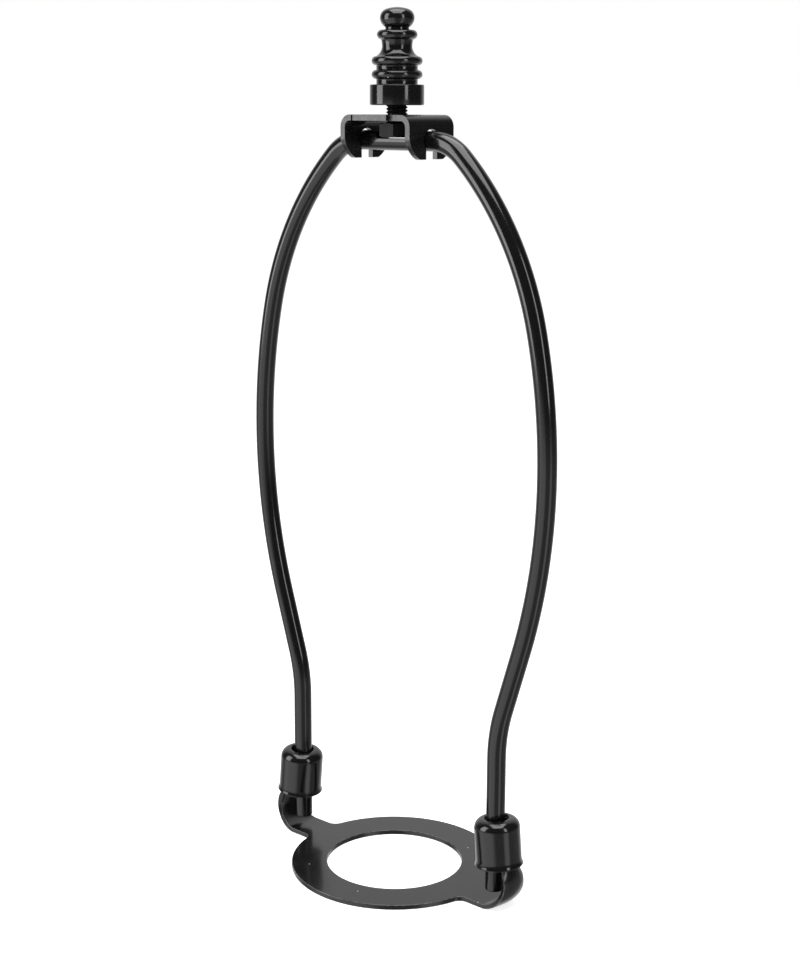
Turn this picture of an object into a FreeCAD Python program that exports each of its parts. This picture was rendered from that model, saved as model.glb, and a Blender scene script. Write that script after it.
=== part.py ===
import FreeCAD, Part
import math
import os
import Sketcher

# Lamp harp, 9 inch: a sprung wire bow whose feet stand in the ears of a flat saddle.
# Millimetres. +X runs along the bow, +Z is up. The origin is the centre of the saddle's
# hole, on its underside. The right half of each mirrored piece is the one with x > 0.

# name of the cell: (value, what it measures)
SIZES = {
    # bow
    "harp_top": (228.6, "underside of the saddle to the top of the bracket, 9 inches"),
    "wire_dia": (5.6, "round steel wire"),
    "bow_width": (112.0, "centre line to centre line at the widest place"),
    "belly_share": (0.5926, "height of the widest place over the height of the wire"),
    "level_run": (27.5, "straight wire through the bracket"),
    "shoulder_radius": (15.7, "bend beside the bracket"),
    "side_fullness": (1.314, "bend of the side over the tightest that fits, more is flatter"),
    "crown_share": (0.473, "bend of the upper side over shoulder and side bends together"),
    "slant_share": (0.639, "share of the way in from belly to foot that the bends make"),
    "foot_bend_radius": (50.0, "bend above the foot"),
    "foot_reach": (8.0, "centre line of a foot beyond the rim of the round plate"),
    "foot_height": (4.5, "cut end of the wire above the saddle's underside"),
    "wire_chamfer": (0.4, "broken edge of the cut end"),
    "flat_length": (11.4, "pressed flat under the head of the stud"),
    "flat_depth": (2.2, "depth of the pressed flat"),
    "flat_radius": (0.4, "corner at the ends of the pressed flat"),
    # bracket
    "bracket_sheet": (1.7, "thickness of the bracket"),
    "bracket_length": (26.4, "over the two legs"),
    "bracket_width": (18.8, "across the wire"),
    "bracket_bend": (3.4, "outside radius between plate and leg"),
    "wire_drop": (7.2, "top of the bracket down to the wire's centre line"),
    "wire_hole_dia": (6.5, "keyhole around the wire"),
    "wire_hole_rise": (0.1, "keyhole's centre above the wire's"),
    "tooth_gap": (4.6, "mouth of the keyhole between two teeth"),
    "tooth_tip": (2.5, "flat end of a tooth"),
    "tooth_drop": (12.2, "top of the bracket down to a tooth's tip"),
    "skirt_drop": (6.6, "top of the bracket down to the round lower corner of a leg"),
    "skirt_radius": (8.2, "round lower corner of a leg"),
    "stud_hole_gap": (0.2, "hole in the plate larger than the stud"),
    "notch_place": (6.0, "locating notch from the middle of the plate"),
    "notch_width": (3.2, "locating notch along the edge"),
    "notch_depth": (1.3, "locating notch into the plate"),
    "nick_place": (8.8, "shear nick from the middle of the plate"),
    "nick_width": (0.5, "shear nick along the edge"),
    # stud
    "stud_dia": (6.25, "outside of the quarter inch thread"),
    "stud_length": (17.2, "shank above the head"),
    "stud_chamfer": (0.8, "lead at the end of the thread"),
    "head_flats": (9.0, "across the flats of the head"),
    "head_height": (4.0, "thickness of the head"),
    "head_seat": (0.3, "head above the pressed flat"),
    # finial, from its base upwards
    "finial_lift": (2.6, "as shown: the finial is not screwed right down"),
    "thread_gap": (0.05, "play between stud and tapped hole, on the radius"),
    "tapped_depth": (15.5, "tapped hole from the base"),
    "base_dia": (15.4, "plain cylinder at the bottom"),
    "base_height": (5.7, "plain cylinder at the bottom"),
    "base_chamfer": (0.35, "broken edges of the base"),
    "waist_dia": (11.7, "between base, rings and bell"),
    "waist_height": (1.5, "base to the lower ring"),
    "ring_dia": (14.4, "both rings"),
    "ring_thick": (2.5, "both rings"),
    "ring_pitch": (3.75, "lower ring to upper ring"),
    "bell_foot_dia": (10.8, "bell where it meets the upper ring"),
    "bell_top_dia": (8.4, "bell under the collar"),
    "bell_height": (4.6, "upper ring to collar"),
    "bell_radius": (12.0, "hollow curve of the bell"),
    "collar_dia": (11.4, "round collar under the ball"),
    "collar_thick": (2.6, "round collar under the ball"),
    "neck_dia": (6.7, "between collar and ball"),
    "neck_height": (0.7, "between collar and ball"),
    "ball_dia": (9.7, "flattened ball"),
    "ball_height": (5.5, "flattened ball above the neck"),
    "ball_waist": (2.6, "widest place of the ball above the neck"),
    "ball_edge": (2.5, "round edge of the ball, radius"),
    # ferrules
    "ferrule_dia": (13.6, "outside of the sleeve"),
    "ferrule_wall": (0.8, "thickness of the sleeve"),
    "ferrule_length": (14.2, "top to lip"),
    "ferrule_hole": (7.2, "hole for the wire in the top"),
    "ferrule_shoulder": (2.8, "outside radius of the top edge"),
    "lip_flare": (0.4, "lip wider than the sleeve, on the radius"),
    "lip_height": (1.6, "height of the flared lip"),
    "ferrule_top": (27.2, "top of the ferrule above the saddle's underside"),
    "ferrule_shift": (0.4, "hole's centre outside the wire's"),
    "ferrule_lean": (5.0, "foot of the ferrule leans outwards, degrees"),
    # saddle
    "sheet": (1.5, "thickness of the saddle"),
    "plate_dia": (64.0, "round plate"),
    "socket_hole": (42.0, "hole for a lampholder"),
    "tab_width": (11.2, "tab where it leaves the plate"),
    "tab_fillet": (3.0, "inside corner between plate and tab"),
    "tab_run": (4.4, "flat part of the tab beyond the rim of the round plate"),
    "ear_bend": (7.65, "middle of the sheet in the upward bend"),
    "ear_gap": (0.3, "clearance of the ear to wire and ferrule"),
    "ear_top": (24.0, "tip of the ear above the saddle's underside"),
    "ear_width_bend": (10.0, "width of the sheet in the middle of the bend"),
    "ear_width_knee": (8.8, "width where the bend ends"),
    "ear_width_lip": (7.2, "width where the ear enters the ferrule"),
    "ear_width_tip": (6.4, "width at the tip"),
    "trough_bend": (15.0, "hollow of the ear in the middle of the bend, radius"),
    "trough_knee": (9.0, "hollow where the bend ends, radius"),
    "trough_lip": (5.0, "hollow where the ear enters the ferrule, radius"),
}


class Size:
    """A length or angle that carries its number and the sheet expression that makes it."""

    def __init__(self, value, text):
        self.value = float(value)
        self.text = text

    def _join(self, sign, other, value):
        return Size(value, "(%s %s %s)" % (self.text, sign, as_size(other).text))

    def __add__(self, other):
        return self._join("+", other, self.value + as_size(other).value)

    def __sub__(self, other):
        return self._join("-", other, self.value - as_size(other).value)

    def __mul__(self, other):
        return self._join("*", other, self.value * as_size(other).value)

    def __truediv__(self, other):
        return self._join("/", other, self.value / as_size(other).value)


def as_size(thing):
    if isinstance(thing, Size):
        return thing
    return Size(thing, "(%g)" % thing)


def size(name):
    return Size(SIZES[name][0], "sizes." + name)


def make_sheet():
    sheet = doc.addObject("Spreadsheet::Sheet", "sizes")
    for row, (name, (value, meaning)) in enumerate(SIZES.items(), start=1):
        sheet.set("A%d" % row, str(value))
        sheet.setAlias("A%d" % row, name)
        sheet.set("B%d" % row, meaning)
    doc.recompute()
    return sheet


def bind(thing, prop, value):
    """Sets a property's number and ties it to the sheet."""
    thing.setExpression(prop, as_size(value).text)


def new_body(label):
    body = doc.addObject("PartDesign::Body", label)
    body.Label = label
    return body


def origin_plane(body, role):
    return next(item for item in body.Origin.OriginFeatures if item.Role == role)


def new_sketch(body, name, role=None):
    sketch = body.newObject("Sketcher::SketchObject", name)
    if role:
        sketch.AttachmentSupport = (origin_plane(body, role), [""])
        sketch.MapMode = "FlatFace"
    return sketch


def point(x, y):
    return FreeCAD.Vector(as_size(x).value, as_size(y).value, 0)


def dimension(sketch, kind, refs, value):
    """Adds a driving dimension and ties it to the sheet."""
    value = as_size(value)
    number = math.radians(value.value) if kind == "Angle" else value.value
    index = sketch.addConstraint(Sketcher.Constraint(kind, *refs, number))
    text = value.text + " * 1 deg" if kind == "Angle" else value.text
    sketch.setExpression("Constraints[%d]" % index, text)


def pin(sketch, geo, pos, x, y):
    """Holds one end of a sketch element at a place measured from the sketch's origin."""
    for kind, value in (("DistanceX", as_size(x)), ("DistanceY", as_size(y))):
        if abs(value.value) < 1e-9:
            axis = -2 if kind == "DistanceX" else -1
            sketch.addConstraint(Sketcher.Constraint("PointOnObject", geo, pos, axis))
        else:
            dimension(sketch, kind, (-1, 1, geo, pos), value)


def arc_between(centre, start, end):
    """Anticlockwise arc about a centre."""
    radius = (start - centre).Length
    first = math.atan2(start.y - centre.y, start.x - centre.x)
    last = math.atan2(end.y - centre.y, end.x - centre.x)
    circle = Part.Circle(centre, FreeCAD.Vector(0, 0, 1), radius)
    return Part.ArcOfCircle(circle, first, last if last > first else last + 2 * math.pi)


def centred_circle(sketch, diameter):
    """Circle about the sketch's origin."""
    circle = Part.Circle(FreeCAD.Vector(0, 0, 0), FreeCAD.Vector(0, 0, 1), diameter.value / 2)
    sketch.addGeometry(circle)
    sketch.addConstraint(Sketcher.Constraint("Coincident", 0, 3, -1, 1))
    dimension(sketch, "Diameter", (0,), diameter)


def outline(sketch, points, arcs=None):
    """Closed outline through pinned points; arcs maps a side's number to its radius.

    A positive radius bulges to the right of the direction of travel, a negative one to
    the left.
    """
    arcs = arcs or {}
    count = len(points)
    ends = []
    for side in range(count):
        start = point(*points[side])
        end = point(*points[(side + 1) % count])
        if side not in arcs:
            geo = sketch.addGeometry(Part.LineSegment(start, end))
            ends.append((geo, 1, 2))
            continue
        radius = as_size(arcs[side]).value
        chord = end - start
        across = FreeCAD.Vector(chord.y, -chord.x, 0).normalize()
        rise = math.sqrt(max(radius * radius - chord.Length ** 2 / 4.0, 0.0))
        middle = (start + end) * 0.5
        if radius > 0:
            geo = sketch.addGeometry(arc_between(middle - across * rise, start, end))
            ends.append((geo, 1, 2))
        else:
            geo = sketch.addGeometry(arc_between(middle + across * rise, end, start))
            ends.append((geo, 2, 1))
    for side in range(count):
        geo, first, last = ends[side]
        following, begin, _ = ends[(side + 1) % count]
        sketch.addConstraint(Sketcher.Constraint("Coincident", geo, last, following, begin))
    for side in range(count):
        geo, first, _ = ends[side]
        pin(sketch, geo, first, *points[side])
        if side in arcs:
            radius = as_size(arcs[side])
            if radius.value < 0:
                radius = as_size(0) - radius
            dimension(sketch, "Radius", (geo,), radius)


def pad(body, name, sketch, length, both_sides=False, backwards=False):
    feature = body.newObject("PartDesign::Pad", name)
    feature.Profile = sketch
    if both_sides:
        feature.SideType = "Symmetric"
    feature.Reversed = backwards
    bind(feature, "Length", length)
    return feature


def cut_through(body, name, sketch):
    feature = body.newObject("PartDesign::Pocket", name)
    feature.Profile = sketch
    feature.SideType = "Symmetric"
    feature.Type = "ThroughAll"
    return feature


def turn(body, name, sketch):
    """Full revolution about the body's own Z axis."""
    feature = body.newObject("PartDesign::Revolution", name)
    feature.Profile = sketch
    feature.ReferenceAxis = (sketch, ["V_Axis"])
    feature.Angle = 360.0
    return feature


def half_turn_copy(body, name, originals):
    """Second copy, half a turn about the Z axis."""
    pattern = body.newObject("PartDesign::PolarPattern", name)
    pattern.Originals = originals
    pattern.Axis = (origin_plane(body, "Z_Axis"), [""])
    pattern.Angle = 360.0
    pattern.Occurrences = 2
    body.Tip = pattern
    return pattern


def wire_height():
    return size("harp_top") - size("wire_drop")


def foot_spacing():
    """Centre line to centre line of the feet."""
    return size("plate_dia") + size("foot_reach") * 2


def tab_reach():
    """Flat part of the tab, from the middle of the plate."""
    return size("plate_dia") / 2 + size("tab_run")


def belly_height():
    """Height of the widest place."""
    return wire_height() * size("belly_share")


def side_radius():
    """Bend of the side: flatter than the arc that alone would join shoulder and belly."""
    shoulder = size("shoulder_radius")
    across = size("bow_width") / 2 - size("level_run") / 2
    up = wire_height() - shoulder - belly_height()
    tightest = (across * across + up * up - shoulder * shoulder) / ((across - shoulder) * 2)
    return tightest * size("side_fullness")


def crown_radius():
    """Bend of the upper side, between the shoulder's and the side's."""
    return (side_radius() + size("shoulder_radius")) * size("crown_share")


def slant_angle():
    """Lean of the straight lower side, degrees."""
    way_in = (size("bow_width") - foot_spacing()) / 2
    cosine = as_size(1) - way_in * size("slant_share") / (side_radius() + size("foot_bend_radius"))
    return Size(math.degrees(math.acos(cosine.value)), "(acos(%s) / 1 deg)" % cosine.text)


def bow_knots():
    """Joints and centres of the right half of the bow, worked out from its radii."""
    top = wire_height().value
    shoulder, foot_bend = SIZES["shoulder_radius"][0], SIZES["foot_bend_radius"][0]
    crown, side = crown_radius().value, side_radius().value
    slant = math.radians(slant_angle().value)
    start = FreeCAD.Vector(SIZES["level_run"][0] / 2, top, 0)
    shoulder_centre = start - FreeCAD.Vector(0, shoulder, 0)
    side_centre = FreeCAD.Vector(SIZES["bow_width"][0] / 2 - side, belly_height().value, 0)
    # the crown's centre lies crown - shoulder from one centre and side - crown from the other
    near, far = crown - shoulder, side - crown
    apart = side_centre - shoulder_centre
    along = (apart.Length ** 2 + near ** 2 - far ** 2) / (2 * apart.Length)
    aside = math.sqrt(near ** 2 - along ** 2)
    unit = FreeCAD.Vector(apart).normalize()
    crown_centre = shoulder_centre + unit * along + FreeCAD.Vector(-unit.y, unit.x, 0) * aside
    shoulder_end = shoulder_centre + (shoulder_centre - crown_centre).normalize() * shoulder
    crown_end = crown_centre + (crown_centre - side_centre).normalize() * crown
    side_end = side_centre + FreeCAD.Vector(math.cos(slant), -math.sin(slant), 0) * side
    foot_x = foot_spacing().value / 2
    run = (side_end.x - foot_x - foot_bend * (1 - math.cos(slant))) / math.sin(slant)
    bend_start = side_end - FreeCAD.Vector(math.sin(slant), math.cos(slant), 0) * run
    bend_centre = FreeCAD.Vector(foot_x + foot_bend, bend_start.y - foot_bend * math.sin(slant), 0)
    bend_end = FreeCAD.Vector(foot_x, bend_centre.y, 0)
    foot = FreeCAD.Vector(foot_x, SIZES["foot_height"][0], 0)
    knots = (start, shoulder_end, crown_end, side_end, bend_start, bend_end, foot)
    return knots, (shoulder_centre, crown_centre, side_centre, bend_centre)


def make_harp_wire():
    """One wire: half the bow is swept along its centre line and mirrored."""
    body = new_body("harp_wire")
    knots, centres = bow_knots()
    start, shoulder_end, crown_end, side_end, bend_start, bend_end, foot = knots
    shoulder_centre, crown_centre, side_centre, bend_centre = centres
    path = new_sketch(body, "bow_path", "XZ_Plane")
    level = path.addGeometry(Part.LineSegment(FreeCAD.Vector(0, start.y, 0), start))
    shoulder = path.addGeometry(arc_between(shoulder_centre, shoulder_end, start))
    crown = path.addGeometry(arc_between(crown_centre, crown_end, shoulder_end))
    side = path.addGeometry(arc_between(side_centre, side_end, crown_end))
    slant = path.addGeometry(Part.LineSegment(bend_start, side_end))
    bend = path.addGeometry(arc_between(bend_centre, bend_start, bend_end))
    leg = path.addGeometry(Part.LineSegment(bend_end, foot))
    joints = ((level, 2, shoulder, 2), (shoulder, 1, crown, 2), (crown, 1, side, 2),
              (side, 1, slant, 2), (slant, 1, bend, 1), (bend, 2, leg, 1))
    for joint in joints:
        path.addConstraint(Sketcher.Constraint("Tangent", *joint))
    path.addConstraint(Sketcher.Constraint("Horizontal", level))
    path.addConstraint(Sketcher.Constraint("PointOnObject", level, 1, -2))
    path.addConstraint(Sketcher.Constraint("Vertical", leg))
    dimension(path, "DistanceY", (-1, 1, level, 1), wire_height())
    dimension(path, "DistanceX", (-1, 1, level, 2), size("level_run") / 2)
    dimension(path, "Radius", (shoulder,), size("shoulder_radius"))
    dimension(path, "Radius", (crown,), crown_radius())
    dimension(path, "Radius", (side,), side_radius())
    dimension(path, "DistanceX", (side, 3, -1, 1), side_radius() - size("bow_width") / 2)
    dimension(path, "DistanceY", (-1, 1, side, 3), belly_height())
    dimension(path, "Angle", (slant,), Size(90, "90") - slant_angle())
    dimension(path, "Radius", (bend,), size("foot_bend_radius"))
    dimension(path, "DistanceX", (-1, 1, leg, 2), foot_spacing() / 2)
    dimension(path, "DistanceY", (-1, 1, leg, 2), size("foot_height"))

    section = new_sketch(body, "wire_section", "YZ_Plane")
    circle = Part.Circle(FreeCAD.Vector(0, start.y, 0), FreeCAD.Vector(0, 0, 1), SIZES["wire_dia"][0] / 2)
    section.addGeometry(circle)
    pin(section, 0, 3, 0, wire_height())
    dimension(section, "Diameter", (0,), size("wire_dia"))

    half = body.newObject("PartDesign::AdditivePipe", "half_bow")
    half.Profile = section
    half.Spine = (path, [])
    doc.recompute()
    low = half.Shape.BoundBox.ZMin
    ends = ["Edge%d" % (index + 1) for index, edge in enumerate(half.Shape.Edges)
            if edge.BoundBox.ZMax < low + 1e-3]
    broken = body.newObject("PartDesign::Chamfer", "cut_end")
    broken.Base = (half, ends)
    bind(broken, "Size", size("wire_chamfer"))
    whole = body.newObject("PartDesign::Mirrored", "whole_bow")
    whole.Originals = [half, broken]
    whole.MirrorPlane = (origin_plane(body, "YZ_Plane"), [""])
    body.Tip = whole

    press = new_sketch(body, "pressed_flat", "XZ_Plane")
    floor = wire_height() + size("wire_dia") / 2 - size("flat_depth")
    roof = wire_height() + size("wire_dia")
    reach = size("flat_length") / 2
    corner = size("flat_radius")
    outline(press, [
        (reach * -1 + corner, floor), (reach - corner, floor), (reach, floor + corner),
        (reach, roof), (reach * -1, roof), (reach * -1, floor + corner)],
        arcs={1: corner, 5: corner})
    cut_through(body, "stud_seat", press)
    return body


def make_top_bracket():
    """Folded sheet: a plate with two legs, each with a keyhole that holds the wire."""
    body = new_body("top_bracket")
    top = size("harp_top")
    outer = size("bracket_length") / 2
    inner = outer - size("bracket_sheet")
    bend = size("bracket_bend")
    inner_bend = bend - size("bracket_sheet")
    tip = top - size("tooth_drop")
    under = top - size("bracket_sheet")
    fold = new_sketch(body, "fold", "XZ_Plane")
    outline(fold, [
        (outer, tip), (outer, top - bend), (outer - bend, top), (bend - outer, top),
        (outer * -1, top - bend), (outer * -1, tip), (inner * -1, tip),
        (inner * -1, top - bend), (bend - outer, under), (outer - bend, under),
        (inner, top - bend), (inner, tip)],
        arcs={1: bend, 3: bend, 7: inner_bend * -1, 9: inner_bend * -1})
    pad(body, "folded_strip", fold, size("bracket_width"), both_sides=True)

    # both legs: a keyhole with two teeth at its mouth, and a round corner beside each
    width = size("bracket_width") / 2
    gap = size("tooth_gap") / 2
    hole = size("wire_hole_dia") / 2
    centre = wire_height() + size("wire_hole_rise")
    shoulder = gap + size("tooth_tip")
    below = tip - 2
    outside = width + 2
    skirt = top - size("skirt_drop")
    keyhole = new_sketch(body, "keyhole", "YZ_Plane")
    circle = Part.Circle(FreeCAD.Vector(0, centre.value, 0), FreeCAD.Vector(0, 0, 1), hole.value)
    keyhole.addGeometry(circle)
    pin(keyhole, 0, 3, 0, centre)
    dimension(keyhole, "Radius", (0,), hole)
    cut_through(body, "keyholes", keyhole)
    mouth = new_sketch(body, "mouth", "YZ_Plane")
    outline(mouth, [(gap * -1, below), (gap, below), (gap, centre), (gap * -1, centre)])
    cut_through(body, "mouths", mouth)

    for name, side in (("front", -1), ("back", 1)):
        slope = new_sketch(body, name + "_corner", "YZ_Plane")
        corners = [(width * side, skirt), (shoulder * side, tip), (shoulder * side, below),
                   (outside * side, below), (outside * side, skirt)]
        corner = size("skirt_radius") * -1
        outline(slope, corners if side > 0 else corners[::-1], arcs={0 if side > 0 else 3: corner})
        cut_through(body, name + "_corners", slope)

    stud_hole = new_sketch(body, "stud_hole", "XY_Plane")
    centred_circle(stud_hole, size("stud_dia") + size("stud_hole_gap"))
    cut_through(body, "stud_way", stud_hole)

    marks = []
    for name, place, wide, deep in (
            ("notch", size("notch_place"), size("notch_width"), size("notch_depth")),
            ("nick", size("nick_place") * -1, size("nick_width"), size("notch_depth"))):
        mark = new_sketch(body, name + "_outline", "XY_Plane")
        left, right = place - wide / 2, place + wide / 2
        front = width * -1
        outline(mark, [(left, front - 1), (right, front - 1), (right, front + deep), (left, front + deep)])
        marks.append(cut_through(body, name, mark))
    half_turn_copy(body, "marks_behind", marks)
    return body


def make_swivel_stud():
    """Hexagon head and shank; the thread's turns are too fine to model here."""
    foot = wire_height() + size("wire_dia") / 2 - size("flat_depth") + size("head_seat")
    head = doc.addObject("Part::Prism", "hexagon_head")
    head.Polygon = 6
    bind(head, "Circumradius", size("head_flats") / Size(math.sqrt(3), "sqrt(3)"))
    bind(head, "Height", size("head_height"))
    bind(head, "Placement.Base.z", foot)
    shank = doc.addObject("Part::Cylinder", "shank")
    bind(shank, "Radius", size("stud_dia") / 2)
    bind(shank, "Height", size("head_height") + size("stud_length") - size("stud_chamfer"))
    bind(shank, "Placement.Base.z", foot)
    lead = doc.addObject("Part::Cone", "thread_lead")
    bind(lead, "Radius1", size("stud_dia") / 2)
    bind(lead, "Radius2", size("stud_dia") / 2 - size("stud_chamfer"))
    bind(lead, "Height", size("stud_chamfer"))
    bind(lead, "Placement.Base.z", foot + size("head_height") + size("stud_length") - size("stud_chamfer"))
    stud = doc.addObject("Part::MultiFuse", "swivel_stud")
    stud.Shapes = [head, shank, lead]
    stud.Label = "swivel_stud"
    return stud


def make_finial():
    """One turned piece: base, two rings, bell, collar and flattened ball over a tapped hole."""
    body = new_body("finial")
    sketch = new_sketch(body, "turned_profile", "XZ_Plane")
    bore = size("stud_dia") / 2 + size("thread_gap")
    base = size("base_dia") / 2
    chamfer = size("base_chamfer")
    waist = size("waist_dia") / 2
    ring = size("ring_dia") / 2
    nose = size("ring_thick") / 2
    base_top = size("base_height")
    lower = base_top + size("waist_height")
    lower_top = lower + size("ring_thick")
    upper = lower + size("ring_pitch")
    upper_top = upper + size("ring_thick")
    collar_foot = upper_top + size("bell_height")
    collar_top = collar_foot + size("collar_thick")
    collar = size("collar_dia") / 2
    collar_nose = size("collar_thick") / 2
    neck_top = collar_top + size("neck_height")
    equator = neck_top + size("ball_waist")
    crown = neck_top + size("ball_height")
    neck = size("neck_dia") / 2
    ball = size("ball_dia") / 2
    # the ball has a tight round edge, which meets the neck below and a flatter cap above
    overhang = ball - neck
    under_edge = (overhang * overhang + size("ball_waist") * size("ball_waist")) / (overhang * 2)
    edge = size("ball_edge")
    rise = crown - equator
    inside = ball - edge
    cap = (inside * inside + rise * rise - edge * edge) / ((rise - edge) * 2)
    joint_x = cap * inside / (cap - edge)
    joint_z = crown - cap + cap * (cap - rise) / (cap - edge)
    tip = size("tapped_depth")

    def bullnose(radius, round_radius, foot, top):
        """Three points of a rounded ring, from its lower to its upper face."""
        return [(radius - round_radius, foot), (radius, foot + round_radius), (radius - round_radius, top)]

    points = [
        (0, tip), (bore, tip), (bore, 0), (base - chamfer, 0), (base, chamfer),
        (base, base_top - chamfer), (base - chamfer, base_top), (waist, base_top), (waist, lower)]
    points += bullnose(ring, nose, lower, lower_top)
    points += [(waist, lower_top), (waist, upper)]
    points += bullnose(ring, nose, upper, upper_top)
    points += [(size("bell_foot_dia") / 2, upper_top), (size("bell_top_dia") / 2, collar_foot)]
    points += bullnose(collar, collar_nose, collar_foot, collar_top)
    points += [(neck, collar_top), (neck, neck_top), (ball, equator), (joint_x, joint_z), (0, crown)]
    outline(sketch, points, arcs={
        9: nose, 10: nose, 14: nose, 15: nose, 17: size("bell_radius") * -1,
        19: collar_nose, 20: collar_nose, 23: under_edge, 24: edge, 25: cap})
    turn(body, "turning", sketch)
    bind(body, "Placement.Base.z", size("harp_top") + size("finial_lift"))
    return body


def make_ferrule(label, side):
    """Drawn sleeve: a cap with a hole for the wire and a slightly flared lip."""
    body = new_body(label)
    sketch = new_sketch(body, "sleeve_wall", "XZ_Plane")
    outer = size("ferrule_dia") / 2
    wall = size("ferrule_wall")
    hole = size("ferrule_hole") / 2
    shoulder = size("ferrule_shoulder")
    foot = size("ferrule_length") * -1
    flare = foot + size("lip_height")
    lip = outer + size("lip_flare")
    outline(sketch, [
        (hole, wall * -1), (outer - shoulder, wall * -1), (outer - wall, shoulder * -1),
        (outer - wall, flare), (lip - wall, foot), (lip, foot), (outer, flare),
        (outer, shoulder * -1), (outer - shoulder, 0), (hole, 0)],
        arcs={1: (shoulder - wall) * -1, 7: shoulder})
    turn(body, "drawing", sketch)
    bind(body, "Placement.Base.x", (foot_spacing() / 2 + size("ferrule_shift")) * side)
    bind(body, "Placement.Base.z", size("ferrule_top"))
    body.Placement.Rotation = FreeCAD.Rotation(FreeCAD.Vector(0, 1, 0), -side * SIZES["ferrule_lean"][0])
    return body


def ferrule_centre(height):
    """Distance of the ferrule's own axis from the middle of the harp at a height."""
    lean = math.tan(math.radians(SIZES["ferrule_lean"][0]))
    hole = foot_spacing().value / 2 + SIZES["ferrule_shift"][0]
    return hole + (SIZES["ferrule_top"][0] - height) * lean


def ear_path():
    """Middle of the ear's sheet, seen from the side: a bend, then a run that leans inwards."""
    half = SIZES["sheet"][0] / 2
    bend = SIZES["ear_bend"][0]
    gap = SIZES["ear_gap"][0]
    lip = SIZES["ferrule_top"][0] - SIZES["ferrule_length"][0] + SIZES["lip_height"][0] / 2
    inside = SIZES["ferrule_dia"][0] / 2 - SIZES["ferrule_wall"][0]
    lip_x = ferrule_centre(lip) + inside - gap - half
    tip_x = (foot_spacing().value + SIZES["wire_dia"][0]) / 2 + gap + half
    top = SIZES["ear_top"][0]
    lean = math.atan2(lip_x - tip_x, top - lip)
    centre_z = half + bend
    centre_x = lip_x + (lip - centre_z) * math.tan(lean) - bend / math.cos(lean)
    bend_end = (centre_x + bend * math.cos(lean), centre_z + bend * math.sin(lean))
    return (centre_x, centre_z), bend_end, (lip_x, lip), (tip_x, top), lean


def between(first, last, share):
    return first + (last - first) * share


def ear_stations():
    """Cross-sections along the ear: x, z, direction, width of the sheet, hollow (1 / radius)."""
    centre, bend_end, lip, tip, lean = ear_path()
    bend = SIZES["ear_bend"][0]
    one = Size(1, "1")
    flat = one / 400
    hollows = {name: one / size("trough_" + name) for name in ("bend", "knee", "lip")}
    tip_hollow = one / (size("wire_dia") / 2 + size("ear_gap") + size("sheet") / 2)
    reach = tab_reach().value
    stations = [(between(reach, centre[0], share), SIZES["sheet"][0] / 2, 0.0, size("tab_width"), flat)
                for share in (0.0, 0.5)]
    for share in (0.0, 0.25, 0.5, 0.75, 1.0):
        turned = share * (math.pi / 2 + lean)
        if share <= 0.5:
            width = between(size("tab_width"), size("ear_width_bend"), share * 2)
            hollow = between(flat, hollows["bend"], share * 2)
        else:
            width = between(size("ear_width_bend"), size("ear_width_knee"), share * 2 - 1)
            hollow = between(hollows["bend"], hollows["knee"], share * 2 - 1)
        stations.append((centre[0] + bend * math.sin(turned), centre[1] - bend * math.cos(turned),
                         turned, width, hollow))
    upright = math.pi / 2 + lean
    stations.append((lip[0], lip[1], upright, size("ear_width_lip"), hollows["lip"]))
    stations.append((tip[0], tip[1], upright, size("ear_width_tip"), tip_hollow))
    return stations


def ear_section(body, name, station):
    """Cross-section of the ear: a strip of sheet, hollow towards the wire."""
    x, z, turned, width, curvature = station
    hollow = Size(1, "1") / curvature
    across = FreeCAD.Vector(0, 1, 0)
    inwards = FreeCAD.Vector(-math.sin(turned), 0, math.cos(turned))
    sketch = new_sketch(body, name)
    sketch.Placement = FreeCAD.Placement(
        FreeCAD.Vector(x, 0, z), FreeCAD.Rotation(across, inwards, across.cross(inwards), "XYZ"))
    outer = hollow + size("sheet") / 2
    inner = hollow - size("sheet") / 2
    reach = math.asin(width.value / 2 / hollow.value)
    centre = FreeCAD.Vector(0, hollow.value, 0)
    down = -math.pi / 2
    arcs = []
    for radius in (outer, inner):
        circle = Part.Circle(centre, FreeCAD.Vector(0, 0, 1), radius.value)
        arcs.append(sketch.addGeometry(Part.ArcOfCircle(circle, down - reach, down + reach)))
    ends = []
    for pos, end in ((1, "StartPoint"), (2, "EndPoint")):
        points = [getattr(sketch.Geometry[arc], end) for arc in arcs]
        line = sketch.addGeometry(Part.LineSegment(*points))
        sketch.addConstraint(Sketcher.Constraint("Coincident", line, 1, arcs[0], pos))
        sketch.addConstraint(Sketcher.Constraint("Coincident", line, 2, arcs[1], pos))
        sketch.addConstraint(Sketcher.Constraint("PointOnObject", arcs[0], 3, line))
        ends.append(line)
    sketch.addConstraint(Sketcher.Constraint("Coincident", arcs[0], 3, arcs[1], 3))
    sketch.addConstraint(Sketcher.Constraint("Symmetric", arcs[0], 1, arcs[0], 2, -2))
    dimension(sketch, "Radius", (arcs[0],), outer)
    dimension(sketch, "Radius", (arcs[1],), inner)
    dimension(sketch, "DistanceY", (-1, 1, arcs[0], 3), hollow)
    dimension(sketch, "DistanceX", (arcs[0], 1, arcs[0], 2), width / hollow * outer)
    return sketch


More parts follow.
